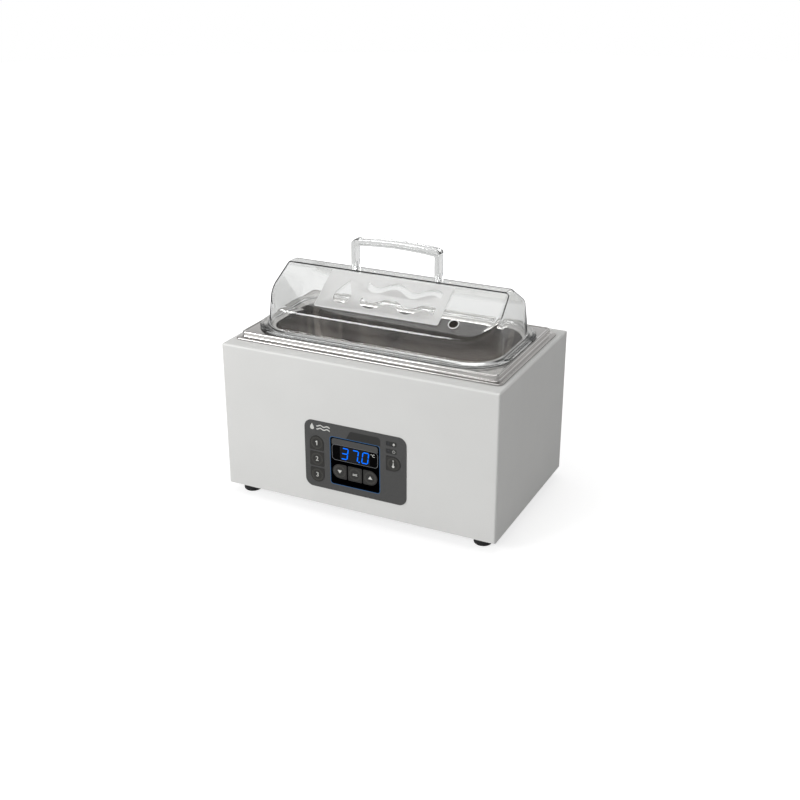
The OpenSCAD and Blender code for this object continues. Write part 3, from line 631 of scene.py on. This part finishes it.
def lid_quarter(slope_rows, front_xs):
    """Skirt stations and roof columns of the outer and inner faces, with shared edges."""
    outer, inner = LidForm(0), LidForm(LID_T)
    up = Vector((0, 0, 1))
    arc_steps, ridge_steps = 8, 3
    turns = [math.radians(90 - 90 * k / 18) for k in range(19)]
    stations = []

    def station(centre, r, wall, top, foot, foot_out, flange):
        stations.append((centre, r, wall, top, foot, foot_out, flange))

    for x in front_xs[:-1]:
        centre, r = outer.bend(math.pi / 2)
        centre = Vector((x, centre.y, centre.z))
        edge = Vector((x * outer.flange_core.x / outer.core.x, outer.half.y))
        station(centre, r, outer.wall_out(math.pi / 2), outer.slope_out, Vector((x, COVER.y / 2)),
                Vector((0, 1)), edge)
    for turn in turns:
        centre, r = outer.bend(turn)
        way = Vector((math.cos(turn), math.sin(turn)))
        station(centre, r, outer.wall_out(turn), outer.slope_out, outer.core + way * COVER_R, way,
                outer.flange_core + way * FLANGE_R)
    ridge_ball = Vector((outer.ridge_x, outer.ridge_y, outer.ridge - RIDGE_R))
    end = outer.wall_out(0.0)
    corner_top = outer.end_centre

    def end_station(centre, top):
        edge = Vector((outer.half.x, centre.y * outer.flange_core.y / outer.core.y))
        station(centre, END_BEND_R, end, top, Vector((COVER.x / 2, centre.y)), Vector((1, 0)), edge)

    for t in slope_rows[1:]:
        end_station(corner_top.lerp(ridge_ball, t), outer.slope_out)
    for k in range(1, ridge_steps + 1):
        end_station(ridge_ball, slerp(outer.slope_out, up, k / ridge_steps))
    end_station(Vector((ridge_ball.x, 0, ridge_ball.z)), up)

    # One column of skirt points for each station, from the inner bend's top to the outer bend's
    base = outer.base
    columns = []
    for centre, r, wall, top, foot, way, flange in stations:
        inside = [centre + slerp(wall, top, 1 - k / arc_steps) * (r - LID_T)
                  for k in range(arc_steps + 1)]
        foot_in = foot - way * LID_T
        column = inside + [Vector((foot_in.x, foot_in.y, base + 0.6))]
        column += [Vector((*(foot_in + way * 0.6), base))]
        for inset, z in ((0.7, 0), (0.2, 0.2), (0, 0.6), (0, 1.2), (0.25, 1.6), (0.8, 1.8),
                         (3.0, 1.85), (3.4, 2.1), (3.9, 2.42), (4.5, 2.5)):
            column += [Vector((*(flange - way * inset), base + z))]
        fillet = 2.0
        for k in range(5):
            a = math.radians(90 * k / 4)
            out = fillet * (1 - math.sin(a))
            z = LID_T + fillet * (1 - math.cos(a))
            column += [Vector((*(foot + way * (out - z * math.tan(DRAFT) * 0.9)), base + z))]
        column += [centre + slerp(wall, top, k / arc_steps) * r for k in range(arc_steps + 1)]
        columns.append(column)

    def roof(form, sign):
        grid = []
        ends = list(front_xs[:-1]) + [
            outer.core.x + (outer.ridge_x - outer.core.x) * math.cos(t) for t in turns]
        for k, ridge_x in enumerate(ends):
            centre, r = stations[k][0], stations[k][1]
            start = centre + form.slope_out * (r - form.inset)
            axis = Vector((ridge_x, outer.ridge_y, outer.ridge - RIDGE_R))
            finish = axis + form.slope_out * (RIDGE_R - form.inset)
            line = [start.lerp(finish, t) for t in slope_rows]
            for j in range(1, ridge_steps + 1):
                line.append(axis + slerp(form.slope_out, up, j / ridge_steps) * (RIDGE_R - form.inset))
            line.append(Vector((ridge_x, 0, outer.ridge - form.inset)))
            grid.append(line)
        return grid if sign > 0 else [line[::-1] for line in grid]

    return columns, roof(outer, 1), roof(inner, -1)


def grid_faces(grid, points, faces):
    start = len(points)
    rows = len(grid[0])
    for line in grid:
        points.extend(line)
    for i in range(len(grid) - 1):
        for j in range(rows - 1):
            a = start + i * rows + j
            faces.append((a, a + 1, a + rows + 1, a + rows))


def build_lid():
    slope_rows = [0, 0.12, 0.3, 0.5, 0.7, 0.86, 1]
    front_xs = [0, 25, 50, 76.5, 92.5, 107]
    points, faces = [], []
    for sx in (1, -1):
        for sy in (1, -1):
            flip = Matrix.Diagonal((sx, sy, 1))
            quarter, made = [], []
            for grid in lid_quarter(slope_rows, front_xs):
                grid_faces([[flip @ p for p in line] for line in grid], quarter, made)
            start = len(points)
            points += quarter
            faces += [tuple(start + v for v in f) for f in made]
    mesh = mesh_from("lid_cover", points, faces, weld=0.00002, angle=40)
    lid = add_object("lid_cover", mesh, ["lid_clear"], "lid")
    form = LidForm(0)

    def on_slope(x, inwards):
        return (x, -inwards, form.ridge - math.tan(SLOPE) * (inwards - RIDGE_W / 2))

    tilt = Matrix.Rotation(SLOPE, 4, "X")
    at = Matrix.Translation(mm(*on_slope(HOLE_X, HOLE_IN)))
    bore = turned([(0, -8), (HOLE_R, -8), (HOLE_R, 6), (0, 6)])
    bore.transform(at @ tilt)
    cut_out(lid, bore, "lid_clear")
    screws = box_mm("lid_handle_screws")
    pitch = (screws[1].x - screws[0].x) / 2 - SCREW_HEAD_HALF
    for side in (-1, 1):
        hole = turned([(0, -6), (1.4, -6), (1.4, 6), (0, 6)], 24)
        hole.transform(Matrix.Translation(mm(side * pitch, 0, form.ridge)))
        cut_out(lid, hole, "lid_clear")
    smooth(lid.data, 30)
    let_light_through(lid)
    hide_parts("lid_shell")

    # Raised collar round the thermometer hole
    collar = turned([(HOLE_R + 0.1, 0.05), (HOLE_R + 0.1, 0.45), (HOLE_R + 0.4, 0.75),
                     (HOLE_R + 0.9, 0.75), (HOLE_R + 1.2, 0.45), (HOLE_R + 1.2, 0.05),
                     (HOLE_R + 0.1, 0.05)])
    collar.transform(at @ tilt)
    let_light_through(add_object("lid_hole_collar", collar, ["lid_frosted"], "lid"))

    # Frosted panel on the front slope, with clear waves and a droplet left out of it
    panel = flat_mesh([round_rect(0, 0, PANEL_WIDE, PANEL_HIGH, 2.5, 5)] + panel_motif(), PANEL_DEEP)
    panel.transform(Matrix.Translation((0, 0, PANEL_DEEP + PANEL_GAP)))
    on_plane(panel, on_slope(0, PANEL_IN), (1, 0, 0), (0, math.cos(SLOPE), math.sin(SLOPE)))
    plate = add_object("lid_panel", panel, ["lid_frosted"], "lid")
    soften = plate.modifiers.new("edges", "BEVEL")
    soften.width, soften.segments, soften.angle_limit = 0.0002, 2, math.radians(50)
    apply_modifiers(plate)
    smooth(plate.data, 30)
    let_light_through(plate)


def let_light_through(piece):
    """Clear plastic doesn't darken what it covers."""
    piece.visible_shadow = piece.visible_diffuse = False


def panel_motif():
    """Outlines of two waves and a droplet, in the panel's own x and y."""
    def wave(y, left, right, thick, high, length):
        steps = int((right - left) / 1.6)
        xs = [left + (right - left) * k / steps for k in range(steps + 1)]
        line = [(x, y + high * math.sin(2 * math.pi * x / length)) for x in xs]
        over = [(x, z + thick / 2) for x, z in line]
        under = [(x, z - thick / 2) for x, z in line]
        return over + under[::-1]

    drop = [(-48 + 15 * math.sin(t) * math.sin(t / 2) ** 1.6, -1 - 17 * -math.cos(t))
            for t in (2 * math.pi * k / 48 for k in range(48))]
    return [drop] + [wave(y, -24, 66, 8.6, 4.6, 45) for y in (11.0, -11.0)]


def build_handle():
    """An arched strip with rounded edges, swept from one foot over to the other."""
    low, high = box_mm("lid_handle")
    half, deep = high.x, high.y - low.y
    base, top = low.z, high.z
    post, bar, arch, edge = 5.0, 7.0, 3.3, 0.9
    bow = (half * half + arch * arch) / (2 * arch)

    def side(half_w, corner, lift, steps=12):
        """Right half of an arched outline, from the foot up and over to the middle."""
        def bar_z(x):
            return top - lift - bow + math.sqrt(bow * bow - x * x)
        cx = half_w - corner
        cz = bar_z(cx) - corner
        line = [(half_w, base), (half_w, base + 6), (half_w, cz - 4)]
        line += arc(cx, cz, corner, 0, 88, 8)
        return line + [(x, bar_z(x)) for x in (cx * (1 - k / steps) for k in range(1, steps + 1))]

    outer, inner = side(half, 5.0, 0), side(half - post, 2.0, bar)
    outer += [(-x, z) for x, z in outer[-2::-1]]
    inner += [(-x, z) for x, z in inner[-2::-1]]
    points, faces = [], []
    for (ox, oz), (ix, iz) in zip(outer, inner):
        out, across = Vector((ox - ix, 0, oz - iz)), Vector((0, 1, 0))
        middle = Vector(((ox + ix) / 2, 0, (oz + iz) / 2))
        section = round_rect(0, 0, out.length, deep, edge, 3)
        points += [middle + out.normalized() * u + across * v for u, v in section]
    count = len(points) // len(outer)
    for k in range(len(outer) - 1):
        for j in range(count):
            i = (j + 1) % count
            faces.append((k * count + j, k * count + i, (k + 1) * count + i, (k + 1) * count + j))
    faces += [list(range(count)), [len(points) - 1 - j for j in range(count)]]
    mesh = mesh_from("handle_strip", points, faces, 0.000001)
    handle = add_object("handle_strip", mesh, ["handle_clear"], "lid")
    screws = box_mm("lid_handle_screws")
    pitch = (screws[1].x - screws[0].x) / 2 - SCREW_HEAD_HALF
    for way in (-1, 1):
        hole = turned([(0, -2), (1.25, -2), (1.25, 8), (0, 8.6)], 24)
        hole.transform(Matrix.Translation(mm(way * pitch, 0, base)))
        cut_out(handle, hole, "handle_clear")
    smooth(handle.data, 30)
    let_light_through(handle)
    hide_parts("lid_handle")


# ---- Control panel ----

OVERLAY = box_mm("control_overlay")
PANEL_X = (OVERLAY[0].x + OVERLAY[1].x) / 2
PANEL_Z = (OVERLAY[0].z + OVERLAY[1].z) / 2
PANEL_Y = OVERLAY[0].y
INK = 0.03
KEY_SIZE = 17.4
KEY_TURNS = {"key_one": 0, "key_two": None, "key_three": 180, "key_down": 90, "key_set": None,
             "key_up": 270, "key_probe": 270}


def key_place(node):
    low, high = box_mm(node)
    return (low.x + high.x) / 2 - PANEL_X, (low.z + high.z) / 2 - PANEL_Z


def key_loop(node, grow):
    """Outline of a key's hole: round on one side where the key is."""
    size = KEY_SIZE + 2 * grow
    half, small = size / 2, 1.2 + grow
    turn = KEY_TURNS[node]
    big = half if turn is not None else small
    loop = round_rect(0, 0, size, size, (big, big, small, small), 12)
    angle = math.radians(turn or 0)
    x, z = key_place(node)
    return [(x + px * math.cos(angle) - pz * math.sin(angle),
             z + px * math.sin(angle) + pz * math.cos(angle)) for px, pz in loop]


def ink(loops, material, lift=0.0, surface=None):
    surface = PANEL_Y if surface is None else surface
    mesh = flat_mesh(loops, INK)
    on_plane(mesh, (PANEL_X, surface - INK - lift, PANEL_Z), (1, 0, 0), (0, 0, 1))
    return mesh, material


def letters(words, size, x, z, surface, lift=0.0):
    mesh = text_mesh(words, size, INK)
    on_plane(mesh, (PANEL_X + x, surface - INK - lift, PANEL_Z + z), (1, 0, 0), (0, 0, 1))
    return mesh, "print_white"


def ring(x, z, r, wide, steps=48):
    return [arc(x, z, r, 0, 360 - 360 / steps, steps - 1),
            arc(x, z, r - wide, 0, 360 - 360 / steps, steps - 1)]


def build_overlay():
    window = box_mm("display_window")
    wx, wz = 0.0, (window[0].z + window[1].z) / 2 - PANEL_Z
    ww, wh = window[1].x - window[0].x, window[1].z - window[0].z
    row = [key_loop(k, 0.3) for k in ("key_down", "key_set", "key_up")]
    hole = round_rect(wx, wz, ww + 0.1, wh + 0.1, 3.55, 8)
    field_x, field_z, field_w, field_h, blue_line = 0, -3.5, 62.6, 59.0, 1.3
    field = round_rect(field_x, field_z, field_w, field_h, 3.5)
    parts = [
        ink([field, round_rect(field_x, field_z, field_w - blue_line, field_h - blue_line, 2.9)],
            "print_blue", 0.012),
        ink([field, hole] + row, "print_black"),
        ink([round_rect(0, 20.4, 57.6, 7.6, (3, 3, 0.4, 0.4))], "print_band", 0.012),
        ink([tab_outline()], "print_tab"),
        ink([round_rect(45.1, 31.4, 13, 5.6, 1.2), light_hole(31.4)], "print_tab"),
        ink([round_rect(45.1, 22.4, 13, 5.6, 1.2), light_hole(22.4)], "print_tab"),
        ink([round_rect(wx, wz, ww + 1.3, wh + 1.3, 4.1), hole], "print_line", 0.02),
    ]
    parts += bell_icon(48.2, 31.3) + timer_icon(48.2, 22.4) + water_mark(-53.5, 33.6)
    joined("panel_print", parts, "bath")


def water_mark(x, z):
    """A plain droplet and two wave lines, white, at the overlay's top left corner."""
    drop = [(x + 3.5 * math.sin(t) * math.sin(t / 2) ** 1.6, z + 4.0 * math.cos(t))
            for t in (2 * math.pi * k / 32 for k in range(32))]
    waves = []
    for rise in (1.8, -1.8):
        xs = [x + 5.6 + 17.0 * k / 48 for k in range(49)]
        line = [(px, z + rise + 0.75 * math.sin(2 * math.pi * (px - x) / 8.5)) for px in xs]
        waves.append([(px, pz + 0.7) for px, pz in line] + [(px, pz - 0.7) for px, pz in line[::-1]])
    return [ink([loop], "print_white") for loop in [drop] + waves]


def light_hole(z):
    return round_rect(41.4, z, 3.7, 3.5, 0.2, 2)


def tab_outline():
    """A blank tab whose left end slopes and whose right end is rounded, above the field."""
    points = [(-11.5, 26.0), (-10.4, 26.6), (-6.0, 35.0), (-4.6, 36.0)]
    points += arc(27.8, 32.0, 4.0, 90, 0, 8)
    points += [(31.8, 26.0)]
    return points[::-1]


def bell_icon(x, z):
    dome = arc(x, z + 0.3, 1.15, 180, 0, 10) + [(x + 1.5, z - 1.1), (x - 1.5, z - 1.1)]
    clapper = arc(x, z - 1.55, 0.42, 0, 330, 11)
    return [ink([dome], "print_white", 0.03), ink([clapper], "print_white", 0.03)]


def timer_icon(x, z):
    hand = [(x - 0.15, z), (x + 0.15, z), (x + 0.15, z + 1.1), (x - 0.15, z + 1.1)]
    arm = [(x, z - 0.15), (x + 0.85, z - 0.15), (x + 0.85, z + 0.15), (x, z + 0.15)]
    return [ink(ring(x, z, 1.75, 0.32, 32), "print_white", 0.03),
            ink([hand], "print_white", 0.03), ink([arm], "print_white", 0.03)]


def build_keys():
    figures = {"key_two": "2", "key_three": "3"}
    for node in KEY_TURNS:
        x, z = key_place(node)
        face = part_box(node)[0].y * 1000 + 0.005
        parts = [ink(ring(x, z, 7.1, 0.38), "print_ring", 0, face),
                 ink(ring(x, z, 5.9, 0.30), "print_ring", 0, face)]
        if node == "key_one":
            parts.append(ink([figure_one(x, z)], "print_white", 0, face))
        elif node in figures:
            parts.append(letters(figures[node], 7.8, x, z, face))
        elif node == "key_set":
            parts.append(letters("set", 4.8, x, z, face))
        elif node == "key_probe":
            parts += thermometer_icon(x, z, face)
        else:
            way = 1 if node == "key_up" else -1
            arrow = [(x - 2.7, z - 1.6 * way), (x + 2.7, z - 1.6 * way), (x, z + 2.5 * way)]
            parts.append(ink([arrow], "print_white", 0, face))
        joined(node + "_print", parts, node)


def figure_one(x, z):
    """A 1 with a flag, which the plain font's 1 doesn't have."""
    return [(x - 0.35, z - 2.8), (x + 0.85, z - 2.8), (x + 0.85, z + 2.8), (x - 0.1, z + 2.8),
            (x - 1.75, z + 1.75), (x - 1.75, z + 0.65), (x - 0.35, z + 1.25)]


def thermometer_icon(x, z, face):
    stem = arc(x, z + 1.6, 0.55, 0, 180, 8) + [(x - 0.55, z - 1.6)]
    stem += arc(x, z - 3.0, 1.55, 112, 428, 20) + [(x + 0.55, z - 1.6)]
    arrow = [(x - 1.0, z + 3.3), (x + 1.0, z + 3.3), (x, z + 5.0)]
    bar = [(x - 2.3, z + 0.9), (x + 2.3, z + 0.9), (x + 2.3, z + 1.25), (x - 2.3, z + 1.25)]
    return [ink([stem], "print_white", 0, face), ink([arrow], "print_white", 0, face),
            ink([bar], "print_ring", INK, face)]


def build_display():
    window = box_mm("display_window")
    face = window[0].y + 0.01
    wz = (window[0].z + window[1].z) / 2 - PANEL_Z
    parts = [ink([round_rect(0, wz, 37.2, 16.6, 1.0, 4)], "print_lcd", 0, face)]
    joined("display_field", parts, "bath")
    lean = math.tan(math.radians(8))
    high, wide, half = 14.4 / 2 - 0.7, 8.6 / 2 - 0.7, 0.66
    ends = [((-wide, high), (wide, high)), ((wide, high), (wide, 0)), ((wide, 0), (wide, -high)),
            ((-wide, -high), (wide, -high)), ((-wide, 0), (-wide, -high)), ((-wide, high), (-wide, 0)),
            ((-wide, 0), (wide, 0))]

    def segment(start, end, x):
        a, b = Vector(start), Vector(end)
        along = (b - a).normalized()
        side = Vector((-along.y, along.x)) * half
        a, b = a + along * 0.22, b - along * 0.22
        tips = [a, a + along * half + side, b - along * half + side, b, b - along * half - side,
                a + along * half - side]
        return [(x + p.x + p.y * lean, wz + p.y) for p in tips]

    lit_parts = []
    for x, shown in ((-12.5, (0, 1, 2, 3, 6)), (0.3, (0, 1, 2)), (13.1, (0, 1, 2, 3, 4, 5))):
        for k in shown:
            lit_parts.append(ink([segment(*ends[k], x)], "led_blue", INK, face))
    lit_parts.append(ink([arc(5.4, wz - high, 0.95, 0, 345, 23)], "led_blue", INK, face))
    figures = joined("display_figures", lit_parts, "bath")
    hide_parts("lit_segments")
    joined("display_unit", [letters("°C", 4.6, 22.4, wz + 4.7, face, INK)], "bath")


# ---- Back ----


def build_back():
    """The on and off marks above and below the rocker."""
    low, high = box_mm("switch_housing")
    on_mark = flat_mesh([[(-0.35, -1.4), (0.35, -1.4), (0.35, 1.4), (-0.35, 1.4)]], INK)
    off_mark = flat_mesh(ring(0, 0, 1.5, 0.5, 32), INK)
    reach = (high.z - low.z - 3.2) / 2
    for mesh, side in ((on_mark, 1), (off_mark, -1)):
        z = (low.z + high.z) / 2 + side * reach
        on_plane(mesh, ((low.x + high.x) / 2, high.y + INK, z), (-1, 0, 0), (0, 0, 1))
    joined("switch_marks", [(on_mark, "print_white"), (off_mark, "print_white")], "bath")


dress_nodes()
build_tank()
build_lid()
build_handle()
build_overlay()
build_keys()
build_display()
build_back()


# ---- Stage, lights and camera ----


SKY_LEFT, SKY_RIGHT = 0.38, 0.26
HORIZON, FLAG = 0.82, 0.04


def math_node(nodes, links, operation, *values):
    node = nodes.new("ShaderNodeMath")
    node.operation = operation
    for value, socket in zip(values, node.inputs):
        if isinstance(value, (int, float)):
            socket.default_value = value
        else:
            links.new(value, socket)
    return node.outputs[0]


def plain_view(nodes, links):
    """How far the stage is as bright as it looks: all when seen, half through clear plastic."""
    path = nodes.new("ShaderNodeLightPath").outputs
    return math_node(nodes, links, "MULTIPLY_ADD", path["Is Transmission Ray"], 0.5, path["Is Camera Ray"])


def build_floor():
    """A pale floor, which the camera sees as plain white well away from the object."""
    bpy.ops.mesh.primitive_circle_add(vertices=128, radius=4.0, fill_type="NGON")
    floor = bpy.context.object
    floor.name = "floor"
    s = Surface("floor_pale", Roughness=0.9, Specular_IOR_Level=0.1)
    s.colour(s.noise(3, detail=2), (0.42, 0.42, 0.42), (0.46, 0.46, 0.46))
    s.set("Emission Color", (1.0, 1.0, 1.0))
    reach = s.nodes.new("ShaderNodeVectorMath")
    reach.operation = "LENGTH"
    s.links.new(s.place, reach.inputs[0])
    seen = math_node(s.nodes, s.links, "MULTIPLY_ADD", plain_view(s.nodes, s.links),
                     s.span(reach.outputs["Value"], 0.62, 0.95, 0.1, 0.7), 0.06)
    s.links.new(seen, s.shader.inputs["Emission Strength"])
    floor.data.materials.append(s.material)


def area_light(name, at, toward, size, power):
    light = bpy.data.lights.new(name, "AREA")
    light.shape, light.size, light.size_y = "RECTANGLE", size[0], size[1]
    light.energy = power
    obj = bpy.data.objects.new(name, light)
    obj.location = at
    obj.rotation_euler = (Vector(toward) - Vector(at)).to_track_quat("-Z", "Y").to_euler()
    bpy.context.scene.collection.objects.link(obj)


def build_world():
    """A soft studio, darker overhead and to the right, that the camera sees as plain white."""
    world = bpy.data.worlds.new("studio")
    bpy.context.scene.world = world
    world.use_nodes = True
    nodes, links = world.node_tree.nodes, world.node_tree.links
    way = nodes.new("ShaderNodeTexCoord").outputs["Generated"]
    axes = nodes.new("ShaderNodeSeparateXYZ")
    links.new(way, axes.inputs[0])

    def span(source, start, stop, low, high):
        node = nodes.new("ShaderNodeMapRange")
        for value, name in ((start, "From Min"), (stop, "From Max"), (low, "To Min"), (high, "To Max")):
            node.inputs[name].default_value = value
        links.new(source, node.inputs["Value"])
        return node.outputs[0]

    def blend(factor, first, second):
        node = nodes.new("ShaderNodeMix")
        links.new(factor, node.inputs["Factor"])
        for value, socket in ((first, node.inputs[2]), (second, node.inputs[3])):
            if isinstance(value, float):
                socket.default_value = value
            else:
                links.new(value, socket)
        return node.outputs[0]

    above = span(axes.outputs["X"], -0.8, 0.8, SKY_LEFT, SKY_RIGHT)
    round_about = span(axes.outputs["X"], -0.98, -0.84, FLAG, HORIZON)
    sky = blend(span(axes.outputs["Z"], 0.15, 0.60, 0, 1), round_about, above)
    seen = plain_view(nodes, links)
    nodes["Background"].inputs["Color"].default_value = (1.0, 1.0, 1.0, 1.0)
    links.new(blend(seen, sky, 1.0), nodes["Background"].inputs["Strength"])


def build_lights():
    build_world()
    area_light("key_softbox", (-1.4, -1.9, 1.1), (0, 0, 0.12), (1.3, 0.8), 36)
    area_light("top_softbox", (-0.2, 0.2, 2.2), (0, 0, 0.1), (1.6, 1.4), 13)


CAMERA_AT = (0.5683, -1.1584, 0.6631)
CAMERA_TILT, CAMERA_TURN, CAMERA_LENS = 23.28, 25.97, 54


def build_camera():
    camera = bpy.data.cameras.new("camera")
    camera.lens, camera.sensor_width = CAMERA_LENS, 36
    camera.clip_start, camera.clip_end = 0.01, 60
    obj = bpy.data.objects.new("camera", camera)
    obj.location = CAMERA_AT
    obj.rotation_euler = (math.radians(90 - CAMERA_TILT), 0, math.radians(CAMERA_TURN))
    bpy.context.scene.collection.objects.link(obj)
    bpy.context.scene.camera = obj


build_floor()
build_lights()
build_camera()
bpy.context.scene.view_settings.view_transform = "Standard"
